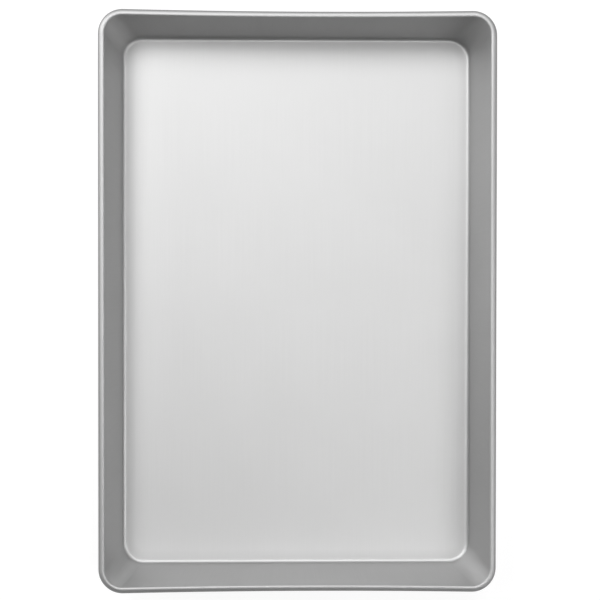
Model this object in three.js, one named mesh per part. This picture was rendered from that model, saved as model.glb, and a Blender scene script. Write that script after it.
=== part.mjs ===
// Sheet cake pan: one drawn aluminium sheet whose edge is rolled over a steel wire.
// Millimetres, +Z up. The origin is the middle of the underside, X runs across the pan and Y along it.

import * as THREE from "three";

// Driving dimensions, in millimetres, with the lean in degrees.
const panHeight = 50.8; // underside of the floor to the top of the rolled rim
const mouthWidth = 305.2; // inside, between the tops of the two long walls
const mouthLength = 451.2; // inside, between the tops of the two end walls, beside the corners
const wallLean = 12.5; // how far each wall leans outward from upright
const sheetGauge = 1; // thickness of the aluminium
const floorFillet = 3.3; // inside radius where the floor turns up into the walls
const floorCornerRadius = 17.4; // inside radius of the corners in plan, at the foot of the walls
const mouthCornerRadius = 14; // inside radius of the corners in plan, at the top of the walls
const endBow = 1.3; // how far each end wall is drawn in at the middle of its top
const crownBend = 0.6; // inside radius of the bend from the top of the wall into the rolled rim
const wireDiameter = 3.2; // reinforcing wire inside the rolled rim
const wireClearance = 0.3; // between the wire and the sheet round it
const curlGap = 0.3; // between the cut edge of the roll and the wall behind it
const wireButtGap = 1; // between the two ends of the wire, halfway along one long side

// Facets of each round stretch.
const cornerSteps = 8;
const endSteps = 10;
const filletSteps = 5;
const bendSteps = 4;
const shoulderSteps = 6;
const underSteps = 8;
const wireSides = 12;

// What follows from the dimensions. A point of the sheet's section is (outward from the mouth, height).
const lean = THREE.MathUtils.degToRad(wallLean);
const slope = Math.sin(lean);
const bendRadius = crownBend + sheetGauge;
const wirePocket = wireDiameter + 2 * wireClearance;
const rollRadius = (wirePocket + 2 * sheetGauge - bendRadius * (1 - slope)) / (1 + slope);
const bendCentre = new THREE.Vector2(bendRadius * Math.cos(lean), panHeight - bendRadius);
const rollCentre = new THREE.Vector2(bendCentre.x, panHeight - rollRadius);
const rollFromWall = bendRadius + (rollRadius - bendRadius) * slope;
const rollEnd = -Math.acos((sheetGauge + curlGap - rollFromWall) / rollRadius) - lean;
const wireOffset = rollRadius - sheetGauge - wirePocket / 2;
const wireCentre = new THREE.Vector2(wireOffset, 0).rotateAround(new THREE.Vector2(), -lean).add(rollCentre);
const wallTop = bendCentre.y + bendRadius * slope;
const filletHeight = sheetGauge + floorFillet;
const filletCentre = new THREE.Vector2(wallFace(filletHeight) - floorFillet / Math.cos(lean), filletHeight);

// How far outward from the mouth the inner face of the wall stands at a height.
function wallFace(height) {
  return (height - wallTop) * Math.tan(lean);
}

function arc(centre, radius, from, to, steps) {
  const clockwise = to < from;
  return new THREE.EllipseCurve(centre.x, centre.y, radius, radius, from, to, clockwise).getPoints(steps);
}

// The pan's outline in plan through one point of the section, as points that run anticlockwise from the +X side.
// The corners and the bow are those of the wall at wallHeight, so that the rolled rim keeps its section all round.
function outline(point, wallHeight) {
  const rise = wallHeight / wallTop;
  const offset = point.x - wallFace(wallHeight);
  const radius = THREE.MathUtils.lerp(floorCornerRadius, mouthCornerRadius, rise) + offset;
  const straightX = mouthWidth / 2 + point.x - radius;
  const straightY = mouthLength / 2 + point.x - radius;
  const points = [];
  for (let corner = 0; corner < 4; corner++) {
    const signX = corner === 0 || corner === 3 ? 1 : -1;
    const signY = corner < 2 ? 1 : -1;
    const centre = new THREE.Vector2(signX * straightX, signY * straightY);
    const start = (corner * Math.PI) / 2;
    points.push(...arc(centre, radius, start, start + Math.PI / 2, cornerSteps));
    if (corner % 2 === 1) continue;
    for (let step = 1; step < endSteps; step++) {
      const along = 1 - (2 * step) / endSteps;
      const drawnIn = endBow * rise * (1 - along * along);
      points.push(new THREE.Vector2(centre.x * along, signY * (straightY + radius - drawnIn)));
    }
  }
  return points.map(({ x, y }) => new THREE.Vector3(x, y, point.y));
}

// A closed solid through rings of equal point counts, with a flat fan over the first and the last ring.
function loft(rings) {
  const count = rings[0].length;
  const centres = [rings[0], rings.at(-1)].map((ring) =>
    ring.reduce((sum, point) => sum.add(point), new THREE.Vector3()).divideScalar(count),
  );
  const firstCentre = rings.length * count;
  const lastRing = firstCentre - count;
  const triangles = [];
  for (let j = 0; j < count; j++) {
    const next = (j + 1) % count;
    triangles.push(firstCentre, j, next, firstCentre + 1, lastRing + next, lastRing + j);
    for (let ring = 0; ring < lastRing; ring += count) {
      const above = ring + count;
      triangles.push(ring + j, above + j, above + next, ring + j, above + next, ring + next);
    }
  }
  const geometry = new THREE.BufferGeometry().setFromPoints([...rings.flat(), ...centres]);
  geometry.setIndex(triangles);
  geometry.computeVertexNormals();
  return geometry;
}

// One face of the fillet, from the floor to the foot of the wall.
function filletArc(radius) {
  return arc(filletCentre, radius, -Math.PI / 2, -lean, filletSteps).map((point) => outline(point, point.y));
}

// One face of the rim, a depth below its outer skin: over the bend, down the shoulder and under to the cut edge.
function rimArc(depth) {
  const crown = Math.PI / 2;
  const bend = arc(bendCentre, bendRadius - depth, Math.PI - lean, crown, bendSteps);
  const shoulder = arc(rollCentre, rollRadius - depth, crown, 0, shoulderSteps);
  const under = arc(rollCentre, rollRadius - depth, 0, rollEnd, underSteps);
  return [...bend, ...shoulder.slice(1), ...under.slice(1)].map((point) => outline(point, wallTop));
}

// The drawn sheet: up the inside of the pan, round the rolled rim to its cut edge, and back down the outside.
function panBody() {
  const insideFace = [...filletArc(floorFillet), ...rimArc(0)];
  const outsideFace = [...filletArc(floorFillet + sheetGauge), ...rimArc(sheetGauge)];
  return loft([...insideFace, ...outsideFace.reverse()]);
}

// The wire: one round rod bent to the rim's outline, with its two ends facing across a narrow gap.
function rimWire() {
  const section = arc(wireCentre, wireDiameter / 2, 0, 2 * Math.PI, wireSides).slice(0, -1);
  const lines = section.map((point) => {
    const end = new THREE.Vector3(mouthWidth / 2 + point.x, wireButtGap / 2, point.y);
    const otherEnd = new THREE.Vector3(end.x, -end.y, end.z);
    return [end, ...outline(point, wallTop), otherEnd];
  });
  return loft(lines[0].map((_, station) => lines.map((line) => line[station])));
}

function piece(name, geometry, material) {
  const mesh = new THREE.Mesh(geometry, material);
  mesh.name = name;
  return mesh;
}

const satinAluminium = new THREE.MeshStandardMaterial({ color: 0xc4c5c7, roughness: 0.55, metalness: 1 });
const zincedSteel = new THREE.MeshStandardMaterial({ color: 0x9a9da0, roughness: 0.5, metalness: 1 });

const sheetCakePan = new THREE.Group();
sheetCakePan.name = "sheet_cake_pan";
sheetCakePan.add(piece("pan_body", panBody(), satinAluminium));
sheetCakePan.add(piece("rim_wire", rimWire(), zincedSteel));

export default sheetCakePan;
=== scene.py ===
# %% [markdown]
# A sheet cake pan
#
# The real pan is one blank of aluminium sheet. A press draws it down into a floor with leaning walls,
# and its edge is then rolled outward over a steel wire. So there are two pieces to make: the drawn
# sheet, and the wire hidden in its rim. The solid model already holds their true sizes. Here both are
# modelled again, smooth and in the finish of the real metal, around those same sizes.

# %% Load the solid model
import math

import bmesh
import bpy
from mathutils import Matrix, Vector


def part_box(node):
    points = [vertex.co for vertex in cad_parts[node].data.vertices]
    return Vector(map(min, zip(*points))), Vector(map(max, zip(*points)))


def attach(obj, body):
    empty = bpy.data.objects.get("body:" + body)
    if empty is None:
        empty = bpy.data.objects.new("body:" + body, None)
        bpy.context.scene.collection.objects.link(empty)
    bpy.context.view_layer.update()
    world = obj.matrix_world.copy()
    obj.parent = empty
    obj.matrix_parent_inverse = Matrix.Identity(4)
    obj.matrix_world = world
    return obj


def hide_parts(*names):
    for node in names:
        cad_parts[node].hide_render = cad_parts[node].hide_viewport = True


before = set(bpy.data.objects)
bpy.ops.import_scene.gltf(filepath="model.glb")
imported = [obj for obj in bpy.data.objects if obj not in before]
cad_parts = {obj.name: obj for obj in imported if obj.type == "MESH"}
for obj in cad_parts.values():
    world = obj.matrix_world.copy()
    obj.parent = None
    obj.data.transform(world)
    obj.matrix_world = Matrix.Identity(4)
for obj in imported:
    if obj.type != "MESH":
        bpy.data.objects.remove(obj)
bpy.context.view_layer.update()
MM = 0.001
print("solid pieces:", sorted(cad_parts))

# %% [markdown]
# The section of the sheet
#
# Cut through one wall, the sheet is a single line: the flat floor, a small fillet, a straight leaning
# wall, a tight bend at the top, and a roll that turns outward and under. The line could be drawn by
# hand, point by point. Here it is made of arcs whose centres follow from a few sizes, so that
# neighbours meet without a kink. The roll has to hold the wire, so its radius comes from the wire's
# diameter, read from the solid model.

# %% Sizes of the section
SHEET_GAUGE = 1.0 * MM
WALL_LEAN = math.radians(12.5)
FLOOR_FILLET = 3.3 * MM
CROWN_BEND = 0.6 * MM
WIRE_CLEARANCE = 0.3 * MM
CURL_GAP = 0.3 * MM

wire_low, wire_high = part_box("rim_wire")
rim_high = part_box("pan_body")[1]
wire_diameter = wire_high.z - wire_low.z
slope = math.sin(WALL_LEAN)
bend_radius = CROWN_BEND + SHEET_GAUGE
wire_pocket = wire_diameter + 2 * WIRE_CLEARANCE
# Square to the wall, the pocket and a gauge of sheet on each side of it reach from the wall's inner face
# to the far side of the roll. That sets the roll's radius.
roll_radius = (wire_pocket + 2 * SHEET_GAUGE - bend_radius * (1 - slope)) / (1 + slope)
wall_top = rim_high.z - bend_radius * (1 - slope)
print("roll radius, mm:", round(roll_radius / MM, 2), "wall top, mm:", round(wall_top / MM, 2))

# %% Points of the section
FILLET_STEPS = 12
WALL_STEPS = 8
BEND_STEPS = 8
ROLL_STEPS = 36


def wall_face(height):
    """How far outward from the mouth the inner face of the wall stands at a height."""
    return (height - wall_top) * math.tan(WALL_LEAN)


def arc(centre, radius, start, end, steps):
    """Points along an arc, from one angle to another."""
    angles = [start + (end - start) * step / steps for step in range(steps + 1)]
    return [centre + radius * Vector((math.cos(angle), math.sin(angle))) for angle in angles]


fillet_height = SHEET_GAUGE + FLOOR_FILLET
fillet_centre = Vector((wall_face(fillet_height) - FLOOR_FILLET / math.cos(WALL_LEAN), fillet_height))
bend_centre = Vector((bend_radius * math.cos(WALL_LEAN), rim_high.z - bend_radius))
roll_centre = Vector((bend_centre.x, rim_high.z - roll_radius))
roll_from_wall = bend_radius + (roll_radius - bend_radius) * slope
# The roll stops where its cut edge is a small gap away from the outside of the wall.
roll_end = -math.acos((SHEET_GAUGE + CURL_GAP - roll_from_wall) / roll_radius) - WALL_LEAN

fillet = arc(fillet_centre, FLOOR_FILLET, -math.pi / 2, -WALL_LEAN, FILLET_STEPS)
bend = arc(bend_centre, bend_radius, math.pi - WALL_LEAN, math.pi / 2, BEND_STEPS)
roll = arc(roll_centre, roll_radius, math.pi / 2, roll_end, ROLL_STEPS)
wall = [fillet[-1].lerp(bend[0], step / WALL_STEPS) for step in range(1, WALL_STEPS)]
rim = bend + roll[1:]
print("section points:", len(fillet + wall + rim))

# %% [markdown]
# The outline in plan
#
# Seen from above, every ring of the sheet is a rectangle with round corners. The corners are a little
# tighter at the mouth than at the floor, and the end walls bow inward at the top, as thin sheet does
# between two stiff corners. A ring is worked out from one point of the section, and all rings have
# the same number of points, so that each can be joined to the next.

# %% Points of the outline
FLOOR_CORNER = 17.4 * MM
MOUTH_CORNER = 14.0 * MM
END_BOW = 1.3 * MM
CORNER_STEPS = 24
SIDE_STEPS = 32
END_STEPS = 24

rim_half = Vector((rim_high.x, rim_high.y))
mouth_half = rim_half - Vector((1, 1)) * (roll_centre.x + roll_radius)


def outline(outward, wall_height):
    """One ring in plan, so far outward from the mouth, anticlockwise from the +X side."""
    rise = wall_height / wall_top
    wall_corner = FLOOR_CORNER + (MOUTH_CORNER - FLOOR_CORNER) * rise
    radius = wall_corner + outward - wall_face(wall_height)
    reach = mouth_half + Vector((1, 1)) * (outward - radius)
    corners = []
    for corner, (side_x, side_y) in enumerate([(1, 1), (-1, 1), (-1, -1), (1, -1)]):
        start = corner * math.pi / 2
        centre = Vector((side_x * reach.x, side_y * reach.y))
        corners.append(arc(centre, radius, start, start + math.pi / 2, CORNER_STEPS))
    ring = []
    for corner, points in enumerate(corners):
        is_end = corner % 2 == 0
        steps = END_STEPS if is_end else SIDE_STEPS
        ring += points
        for step in range(1, steps):
            along = step / steps
            point = points[-1].lerp(corners[(corner + 1) % 4][0], along)
            if is_end:
                point.y -= math.copysign(END_BOW * rise * 4 * along * (1 - along), point.y)
            ring.append(point)
    return ring


mouth_ring = outline(0, wall_top)
print("mouth, mm:", [round(2 * max(point[i] for point in mouth_ring) / MM, 1) for i in (0, 1)])

# %% [markdown]
# The drawn sheet
#
# In the press the blank's middle stays flat, and its edge is pulled up into walls. The mesh is made
# in the same order: a flat face for the floor, whose edge is extruded ring after ring up the section
# and round the rim. Separate rings joined by bridge_loops would give the same sheet, but extruding
# keeps them in step by itself.

# %% Rings of the sheet
# The first ring lies this far inside the floor's edge, so the draw map is even where the walls' painted
# shade starts.
FLOOR_MARGIN = 10 * MM

floor_edge = fillet[0]
stations = [(floor_edge - Vector((FLOOR_MARGIN, 0)), floor_edge.y)]
stations += [(point, point.y) for point in fillet + wall]
stations += [(point, wall_top) for point in rim]
print("rings:", len(stations), "points in each:", len(mouth_ring))

# %% [markdown]
# Maps on the sheet
#
# The finish has to follow the metal, so each point keeps three things. The blank map is where the
# point lay in the flat blank, in metres: the grain of the rolling mill lies along that blank, and the
# press carries it up the walls. The draw map is how far round the pan a point is and how far up the
# section from the floor's edge, because the press leaves faint marks straight up the walls. The
# gather value is 1 in the middle of a corner, where the rolled edge is shortened and the metal
# crinkles.

# %% Extrude the sheet and note the maps
def extrude_ring(bm, ring):
    """Extrudes a ring of vertices and gives the new ring in the same order."""
    edges = [bm.edges.get(pair) for pair in zip(ring, ring[1:] + ring[:1])]
    made = set(bmesh.ops.extrude_edge_only(bm, edges=edges)["geom"])
    return [next(v for e in old.link_edges for v in e.verts if v in made) for old in ring]


girth_at = [0.0]
for point, after in zip(mouth_ring, mouth_ring[1:] + mouth_ring[:1]):
    girth_at.append(girth_at[-1] + (after - point).length)
girth = girth_at.pop()
corner_share = []
for steps in (END_STEPS, SIDE_STEPS, END_STEPS, SIDE_STEPS):
    corner_share += [math.sin(math.pi * step / CORNER_STEPS) for step in range(CORNER_STEPS + 1)]
    corner_share += [0.0] * (steps - 1)

sheet = bmesh.new()
blank_map = sheet.loops.layers.uv.new("blank")
draw_map = sheet.loops.layers.uv.new("draw")
gather = sheet.verts.layers.float.new("gather")
ring = bmesh.ops.create_circle(sheet, segments=len(mouth_ring), radius=1, cap_ends=True)["verts"]
in_blank, round_pan, climb = {}, {}, {}
climbed = -FLOOR_MARGIN
before = stations[0][0]
for index, (point, wall_height) in enumerate(stations):
    if index:
        ring = extrude_ring(sheet, ring)
    climbed += (point - before).length
    before = point
    plan = outline(point.x, wall_height)
    flat_plan = outline(floor_edge.x + climbed, floor_edge.y)
    for vert, spot, flat, along, share in zip(ring, plan, flat_plan, girth_at, corner_share):
        vert.co = (spot.x, spot.y, point.y)
        vert[gather] = share
        in_blank[vert], round_pan[vert], climb[vert] = flat, along, climbed
blank_size = [round(2 * max(point[i] for point in flat_plan) / MM) for i in (0, 1)]
print("faces in the sheet:", len(sheet.faces), "blank, mm:", blank_size)

# %% Write the maps
for face in sheet.faces:
    alongs = [round_pan[loop.vert] for loop in face.loops]
    meets_start = max(alongs) - min(alongs) > girth / 2
    for loop, along in zip(face.loops, alongs):
        if meets_start and along < girth / 2:
            along += girth
        loop[blank_map].uv = in_blank[loop.vert]
        loop[draw_map].uv = (along, climb[loop.vert])
print("girth of the mouth, mm:", round(girth / MM), "climb to the cut edge, mm:", round(climbed / MM, 1))

# %% [markdown]
# Thickness and the cut edge
#
# So far the sheet has no thickness. Solidify adds the gauge on the outside, so the normals have to
# look into the pan first. That leaves a square cut edge under the roll. A trimmed edge is deburred
# before it is rolled, because it would cut a hand, so its two sharp edges get a small bevel.

# %% Give the sheet its gauge
DEBURR = 0.2 * MM
DEBURRED_ANGLE = math.radians(60)


def deburr(bm, size):
    """Bevels the sharp edges of a cut and gives their number."""
    sharp = [edge for edge in bm.edges if edge.calc_face_angle(0) > DEBURRED_ANGLE]
    bmesh.ops.bevel(bm, geom=sharp, offset=size, affect="EDGES", segments=2, profile=0.5, material=-1)
    return len(sharp)


bmesh.ops.recalc_face_normals(sheet, faces=sheet.faces)
floor_face = max(sheet.faces, key=lambda face: face.calc_area())
if floor_face.normal.z < 0:
    bmesh.ops.reverse_faces(sheet, faces=sheet.faces)
bmesh.ops.solidify(sheet, geom=sheet.faces[:], thickness=SHEET_GAUGE)
cut_edges = deburr(sheet, DEBURR)
heights = [vert.co.z / MM for vert in sheet.verts]
print("cut edges:", cut_edges, "sheet from, mm:", round(min(heights), 3), "to", round(max(heights), 3))

# %% Make the sheet an object
SHARP_EDGE = math.radians(40)


def make_piece(name, bm, node):
    """Turns a bmesh into a smooth piece that rides on the object in place of its solid."""
    mesh = bpy.data.meshes.new(name)
    bm.to_mesh(mesh)
    bm.free()
    mesh.shade_smooth()
    mesh.set_sharp_from_angle(angle=SHARP_EDGE)
    piece = bpy.data.objects.new(name, mesh)
    bpy.context.scene.collection.objects.link(piece)
    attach(piece, "root")
    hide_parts(node)
    print(name, "vertices:", len(mesh.vertices))
    return piece


pan_sheet = make_piece("pan_sheet", sheet, "pan_body")

# %% [markdown]
# The wire in the rim
#
# The wire keeps the rim straight when the full pan is lifted. It is one rod, bent round the rim until
# its two ends face each other across a small gap, and the roll hides it except for a slit underneath.
# A curve with a round bevel would do as well. Here a circle is extruded along the rim, with the same
# function as the sheet, because each point of its section can follow the same outlines as the roll
# around it.

# %% Make the wire
WIRE_SIDES = 24
WIRE_BUTT_GAP = 1.0 * MM
WIRE_CHAMFER = 0.25 * MM

wire_offset = roll_radius - SHEET_GAUGE - wire_pocket / 2
wire_centre = roll_centre + wire_offset * Vector((math.cos(WALL_LEAN), -math.sin(WALL_LEAN)))
wire_section = arc(wire_centre, wire_diameter / 2, 0, 2 * math.pi, WIRE_SIDES)[:-1]
strands = []
# The wire's two ends are halfway along the +X side, so the outline's points on that side are left out.
for point in wire_section:
    plan = outline(point.x, wall_top)[:1 - SIDE_STEPS]
    plan = [Vector((plan[0].x, WIRE_BUTT_GAP / 2))] + plan + [Vector((plan[0].x, -WIRE_BUTT_GAP / 2))]
    strands.append([(spot.x, spot.y, point.y) for spot in plan])

wire = bmesh.new()
ring = bmesh.ops.create_circle(wire, segments=WIRE_SIDES, radius=1, cap_ends=True)["verts"]
for index, spots in enumerate(zip(*strands)):
    if index:
        ring = extrude_ring(wire, ring)
    for vert, spot in zip(ring, spots):
        vert.co = spot
bmesh.ops.contextual_create(wire, geom=ring)
bmesh.ops.recalc_face_normals(wire, faces=wire.faces)
end_edges = deburr(wire, WIRE_CHAMFER)
reinforcing_wire = make_piece("reinforcing_wire", wire, "rim_wire")
print("wire diameter, mm:", round(wire_diameter / MM, 2), "chamfered edges:", end_edges)

# %% [markdown]
# Colours and nodes
#
# Colours are easiest to read as the hex values of a colour picker, but shaders work in linear light,
# so one function turns one into the other. Another adds a node, sets it up and links it in one line.
# A material is then a short list of such lines, in the order in which its pattern is built up.

# %% Helpers for materials
def linear(hex_colour):
    """An sRGB hex colour as the linear colour that shaders take."""
    channels = [int(hex_colour[i:i + 2], 16) / 255 for i in (1, 3, 5)]
    return [c / 12.92 if c <= 0.04045 else ((c + 0.055) / 1.055) ** 2.4 for c in channels] + [1]


def add(tree, kind, inputs=None, **settings):
    """Adds a node, sets it up, and links or fills its inputs."""
    made = tree.nodes.new(kind)
    for name, value in settings.items():
        setattr(made, name, value)
    for name, value in (inputs or {}).items():
        if isinstance(value, bpy.types.NodeSocket):
            tree.links.new(value, made.inputs[name])
        else:
            made.inputs[name].default_value = value
    return made


def new_material(name):
    """An empty node material and its tree."""
    material = bpy.data.materials.new(name)
    material.use_nodes = True
    material.node_tree.nodes.clear()
    return material, material.node_tree


print("mid grey in linear light:", [round(c, 3) for c in linear("#808080")])

# %% [markdown]
# Satin aluminium
#
# The pan is bare aluminium with a satin skin, neither mirror nor paint. Rough metal gives no sharp
# reflection: it shows the lamps as one broad, soft brightness that changes slowly across the floor.
# Up close there is more. The rolling mill leaves a fine grain along the blank, the press leaves faint
# marks up the walls, and handling leaves soft clouds. All of them change the colour and the roughness
# only a little, so the pan still looks clean. Noise on the piece's own coordinates would be simpler,
# but its lines would cut straight through the bends. So the grain is a noise stretched along the
# blank map, and the marks are one stretched along the draw map.

# %% Satin aluminium: grain, marks and clouds
# Real grain is under 0.1 mm wide. It is drawn several times as coarse, so that a picture shows it.
GRAIN_WIDTH = 0.7 * MM
GRAIN_LENGTH = 90 * MM
# The press marks are about as fine as the grain, and are drawn as coarse.
MARK_WIDTH = 0.9 * MM
MARK_LENGTH = 60 * MM
CLOUD_SIZE = 70 * MM

aluminium, tree = new_material("satin_aluminium")
blank = add(tree, "ShaderNodeUVMap", uv_map="blank").outputs["UV"]
draw = add(tree, "ShaderNodeUVMap", uv_map="draw").outputs["UV"]
position = add(tree, "ShaderNodeTexCoord").outputs["Object"]
along_grain = add(tree, "ShaderNodeMapping", {
    "Vector": blank,
    "Scale": (1 / GRAIN_WIDTH, 1 / GRAIN_LENGTH, 1),
}).outputs["Vector"]
along_draw = add(tree, "ShaderNodeMapping", {
    "Vector": draw,
    "Scale": (1 / MARK_WIDTH, 1 / MARK_LENGTH, 1),
}).outputs["Vector"]
grain = add(tree, "ShaderNodeTexNoise", {"Vector": along_grain, "Scale": 1.0, "Detail": 3.0}).outputs[0]
marks = add(tree, "ShaderNodeTexNoise", {"Vector": along_draw, "Scale": 1.0, "Detail": 3.0}).outputs[0]
clouds = add(tree, "ShaderNodeTexNoise", {
    "Vector": position,
    "Scale": 1 / CLOUD_SIZE,
    "Detail": 2.0,
}).outputs[0]
print("grain lines across the mouth:", round(2 * mouth_half.x / GRAIN_WIDTH))

# %% [markdown]
# Zones of the sheet
#
# The finish and the painted shade aren't the same all over. In the photograph the walls look darker than
# the floor by more than this light explains, so the walls get painted shade that starts a little inside
# the floor's edge, where their shadow falls. The fillet has sharper highlights, so it is smoother there.
# The rim ends in a thin dark line, painted as shade on the outer side of the roll.
# So the sheet is split into zones by the climb, the distance up the section from the floor's edge.
# Each zone is a Map Range that rises from 0 to 1 over a short stretch of it. Painted vertex colours
# could do the same, but the zones would then be only as fine as the mesh.

# %% Satin aluminium: zones
# The press marks and the walls' painted shade start this far inside the floor's edge, where the walls'
# shadow falls on it.
MARKS_AND_SHADE_FROM = -8 * MM
MARKS_AND_SHADE_TO = 3 * MM
FILLET_BLEND = 1.5 * MM
# Painted shade: the outer side of the roll gets a thin dark line over this stretch past the roll's
# start.
OUTER_SHADE_FROM = 2.2 * MM
OUTER_SHADE_TO = 2.9 * MM

turn = math.pi / 2 - WALL_LEAN
fillet_ends = FLOOR_FILLET * turn
bend_starts = fillet_ends + (bend[0] - fillet[-1]).length
roll_starts = bend_starts + bend_radius * turn
stretches = {
    "wall_marks_and_shade": (MARKS_AND_SHADE_FROM, MARKS_AND_SHADE_TO),
    "on_fillet": (-FILLET_BLEND, 0.0),
    "past_fillet": (fillet_ends, fillet_ends + FILLET_BLEND),
    "rolled": (bend_starts, roll_starts),
    "outer_roll_shade": (roll_starts + OUTER_SHADE_FROM, roll_starts + OUTER_SHADE_TO),
}
climb_up = add(tree, "ShaderNodeSeparateXYZ", {"Vector": draw}).outputs["Y"]
zones = {}
for name, (start, end) in stretches.items():
    zones[name] = add(tree, "ShaderNodeMapRange", {
        "Value": climb_up,
        "From Min": start,
        "From Max": end,
    }).outputs["Result"]
print("the roll starts at a climb of, mm:", round(roll_starts / MM, 1))

# %% Satin aluminium: tone and crinkles
CRINKLE_SIZE = 1.5 * MM
CRINKLE_DEPTH = 0.12 * MM
GRAIN_DEPTH = 0.004 * MM

lines = add(tree, "ShaderNodeMix", {"Factor": zones["wall_marks_and_shade"], "A": grain, "B": marks}).outputs["Result"]
tone = add(tree, "ShaderNodeMath", {0: lines, 1: clouds}, operation="ADD").outputs[0]
crinkle = add(tree, "ShaderNodeTexNoise", {
    "Vector": position,
    "Scale": 1 / CRINKLE_SIZE,
    "Detail": 1.0,
}).outputs[0]
corner = add(tree, "ShaderNodeAttribute", attribute_name="gather").outputs["Fac"]
for share in (corner, zones["rolled"]):
    crinkle = add(tree, "ShaderNodeMath", {0: crinkle, 1: share}, operation="MULTIPLY").outputs[0]
crinkled = add(tree, "ShaderNodeBump", {"Height": crinkle, "Distance": CRINKLE_DEPTH}).outputs["Normal"]
relief = add(tree, "ShaderNodeBump", {
    "Height": lines,
    "Distance": GRAIN_DEPTH,
    "Normal": crinkled,
}).outputs["Normal"]
print("crinkle depth, mm:", round(CRINKLE_DEPTH / MM, 3))

# %% Satin aluminium: colour
TONE_LOW = 0.6
TONE_HIGH = 1.4
# The two ends of the grain are close, so it only shimmers.
SHEET_DARK = linear("#C1C1C1")
SHEET_LIGHT = linear("#C7C7C7")
# Painted shade: the walls, and the floor's edge by them, are a little darker than the floor, and the
# outer side of the roll is darker still.
PAINTED_SHADES = {"wall_marks_and_shade": "#EDEDED", "outer_roll_shade": "#D6D6D6"}

tone_share = add(tree, "ShaderNodeMapRange", {
    "Value": tone,
    "From Min": TONE_LOW,
    "From Max": TONE_HIGH,
}).outputs["Result"]
# Sockets 6 and 7 of a Mix node are its two colours.
sheet_colour_and_shade = add(tree, "ShaderNodeMix", {
    "Factor": tone_share,
    6: SHEET_DARK,
    7: SHEET_LIGHT,
}, data_type="RGBA").outputs[2]
for zone, tint in PAINTED_SHADES.items():
    sheet_colour_and_shade = add(tree, "ShaderNodeMix", {
        "Factor": zones[zone],
        6: sheet_colour_and_shade,
        7: linear(tint),
    }, data_type="RGBA", blend_type="MULTIPLY").outputs[2]
print("sheet in linear light:", round(SHEET_DARK[0], 3), "to", round(SHEET_LIGHT[0], 3))

# %% Satin aluminium: roughness
ROUGHNESS_LOW = 0.57
ROUGHNESS_HIGH = 0.61
FILLET_POLISH = 0.08

roughness = add(tree, "ShaderNodeMapRange", {
    "Value": tone_share,
    "To Min": ROUGHNESS_LOW,
    "To Max": ROUGHNESS_HIGH,
}).outputs["Result"]
# The fillet is a little smoother, so its highlights are sharper.
on_fillet = add(tree, "ShaderNodeMath", {
    0: zones["on_fillet"],
    1: zones["past_fillet"],
}, operation="SUBTRACT").outputs[0]
roughness = add(tree, "ShaderNodeMath", {
    0: on_fillet,
    1: -FILLET_POLISH,
    2: roughness,
}, operation="MULTIPLY_ADD").outputs[0]
surface = add(tree, "ShaderNodeBsdfPrincipled", {
    "Base Color": sheet_colour_and_shade,
    "Metallic": 1.0,
    "Roughness": roughness,
    "Normal": relief,
})
add(tree, "ShaderNodeOutputMaterial", {"Surface": surface.outputs["BSDF"]})
pan_sheet.data.materials.append(aluminium)
print("aluminium nodes:", len(tree.nodes))

# %% [markdown]
# Zinc-plated steel
#
# The wire is drawn mild steel with a thin coat of zinc against rust. Zinc is bluer and darker than
# aluminium, and its coat is a patchwork of dull and bright flecks a few millimetres across. A noise
# of that size, on the piece's own coordinates, changes its colour and its roughness.

# %% Zinc-plated steel
FLECK_SIZE = 2.5 * MM
BRIGHT_FLECK = 0.3
DULL_FLECK = 0.55

steel, tree = new_material("zinc_plated_steel")
position = add(tree, "ShaderNodeTexCoord").outputs["Object"]
flecks = add(tree, "ShaderNodeTexNoise", {
    "Vector": position,
    "Scale": 1 / FLECK_SIZE,
    "Detail": 2.0,
}).outputs[0]
colour = add(tree, "ShaderNodeMix", {
    "Factor": flecks,
    6: linear("#94999D"),
    7: linear("#B6BABC"),
}, data_type="RGBA").outputs[2]
dullness = add(tree, "ShaderNodeMapRange", {
    "Value": flecks,
    "To Min": BRIGHT_FLECK,
    "To Max": DULL_FLECK,
}).outputs["Result"]
surface = add(tree, "ShaderNodeBsdfPrincipled", {
    "Base Color": colour,
    "Metallic": 1.0,
    "Roughness": dullness,
})
add(tree, "ShaderNodeOutputMaterial", {"Surface": surface.outputs["BSDF"]})
reinforcing_wire.data.materials.append(steel)
print("steel nodes:", len(tree.nodes))

# %% [markdown]
# The floor under the pan
#
# The pan stands on a wide sheet of paper, turned up at its far edge so that low views have a pale
# background too. In this light white paper comes out pale grey, and more light would burn out the
# metal. So the paper is a mid grey that also glows, but only for rays from the camera and for what
# shiny or clear things show of it. The two together come out white, the metal shows a white floor,
# and the lit share keeps the pan's soft shadow.

# %% Studio floor
PAPER_RADIUS = 15.0
PAPER_UPTURN = 2.5
PAPER_SIDES = 96
FLOOR_DROP = 0.2 * MM

floor_bm = bmesh.new()
circle = bmesh.ops.create_circle(floor_bm, segments=PAPER_SIDES, radius=PAPER_RADIUS, cap_ends=True)
ring = circle["verts"]
bmesh.ops.translate(floor_bm, verts=ring, vec=(0, 0, -FLOOR_DROP))
bmesh.ops.translate(floor_bm, verts=extrude_ring(floor_bm, ring), vec=(0, 0, PAPER_UPTURN))
floor_mesh = bpy.data.meshes.new("studio_floor")
floor_bm.to_mesh(floor_mesh)
floor_bm.free()
floor = bpy.data.objects.new("studio_floor", floor_mesh)
bpy.context.scene.collection.objects.link(floor)
print("paper across, m:", 2 * PAPER_RADIUS)

# %% Studio floor: paper
FLOOR_GLOW = 0.85

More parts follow.
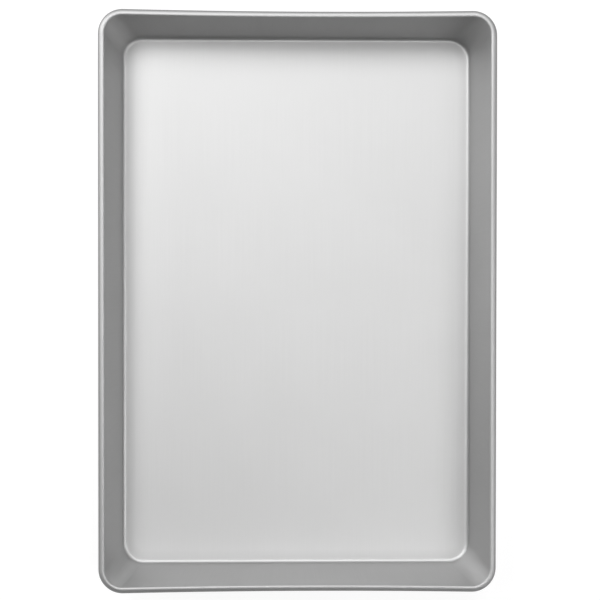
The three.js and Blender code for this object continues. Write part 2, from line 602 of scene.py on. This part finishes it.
paper, tree = new_material("white_backdrop_paper")
path = add(tree, "ShaderNodeLightPath")
seen = path.outputs["Is Camera Ray"]
for ray in ("Is Glossy Ray", "Is Transmission Ray"):
    seen = add(tree, "ShaderNodeMath", {0: seen, 1: path.outputs[ray]}, operation="MAXIMUM").outputs[0]
glow = add(tree, "ShaderNodeMath", {0: seen, 1: FLOOR_GLOW}, operation="MULTIPLY")
matt = add(tree, "ShaderNodeBsdfDiffuse", {"Color": linear("#7A7A7A")})
light = add(tree, "ShaderNodeEmission", {"Strength": glow.outputs[0]})
both = add(tree, "ShaderNodeAddShader", {0: matt.outputs[0], 1: light.outputs[0]})
add(tree, "ShaderNodeOutputMaterial", {"Surface": both.outputs[0]})
floor.data.materials.append(paper)
print("paper glow:", FLOOR_GLOW)

# %% [markdown]
# Studio light
#
# Satin metal shows the light itself, so it is lit with softboxes. A plain bright world would be simpler,
# but it would light every side alike and leave the metal flat. Five small softboxes stand high round the
# pan, the brightest at the upper left of the photograph, and three large ones stand low for the walls
# and the rim. Their directions and strengths were found by setting the pan under one lamp at a time,
# comparing light and shade with the photograph, rounding, and trimming.
# Each is set by the direction it comes from and by how bright its face looks, which fixes its power
# from its area. None shows to the camera.

# %% Softboxes
LIGHT_DISTANCE = 1.6


def softbox(name, bearing, from_overhead, side, brightness):
    """A square lamp facing the pan, at a bearing from +X and an angle from overhead, in degrees."""
    lamp = bpy.data.lights.new(name, "AREA")
    lamp.shape = "SQUARE"
    lamp.size = side
    lamp.energy = 4 * side * side * brightness
    bearing, from_overhead = math.radians(bearing), math.radians(from_overhead)
    level = math.sin(from_overhead)
    towards = Vector((level * math.cos(bearing), level * math.sin(bearing), math.cos(from_overhead)))
    box = bpy.data.objects.new(name, lamp)
    box.location = towards * LIGHT_DISTANCE
    box.rotation_euler = towards.to_track_quat("Z", "Y").to_euler()
    box.visible_camera = False
    bpy.context.scene.collection.objects.link(box)
    print(name, "watts:", round(lamp.energy, 1))


softbox("key_softbox", 135, 36, 0.5, 10.8)
softbox("back_softbox", 70, 38, 0.5, 9.5)
softbox("left_softbox", 180, 28, 0.5, 3)
softbox("right_softbox", 332, 38, 0.5, 5.4)
softbox("overhead_softbox", 300, 10, 0.5, 4)
softbox("low_left_softbox", 150, 72, 0.8, 3.3)
softbox("low_right_softbox", 0, 58, 0.8, 1)
softbox("low_back_softbox", 90, 62, 0.8, 0.8)

# %% Room
ROOM_LIGHT = 0.02

world = bpy.data.worlds.new("studio_room")
bpy.context.scene.world = world
world.use_nodes = True
tree = world.node_tree
tree.nodes.clear()
room = add(tree, "ShaderNodeBackground", {"Color": linear("#FFFFFF"), "Strength": ROOM_LIGHT})
add(tree, "ShaderNodeOutputWorld", {"Surface": room.outputs[0]})
print("room light:", ROOM_LIGHT)

# %% [markdown]
# Camera
#
# The photograph looks almost straight down from about 1.3 m. The camera's place, tilt and focal
# length were fitted to the edges of the rim and the floor, so that each wall shows as wide as it does
# there.

# %% Camera
IMAGE_WIDTH = 600
FOCAL_LENGTH_PX = 1628.2
CAMERA_PLACE = Vector((-35.6, 21.1, 1337.0)) * MM
CAMERA_TILT = (-0.868, -1.651, 0.062)

camera = bpy.data.cameras.new("camera")
camera.sensor_width = 36
camera.lens = FOCAL_LENGTH_PX / IMAGE_WIDTH * camera.sensor_width
camera_object = bpy.data.objects.new("camera", camera)
camera_object.location = CAMERA_PLACE
camera_object.rotation_euler = [math.radians(angle) for angle in CAMERA_TILT]
bpy.context.scene.collection.objects.link(camera_object)
bpy.context.scene.camera = camera_object
bpy.context.scene.view_settings.view_transform = "Standard"
print("lens, mm:", round(camera.lens, 1))
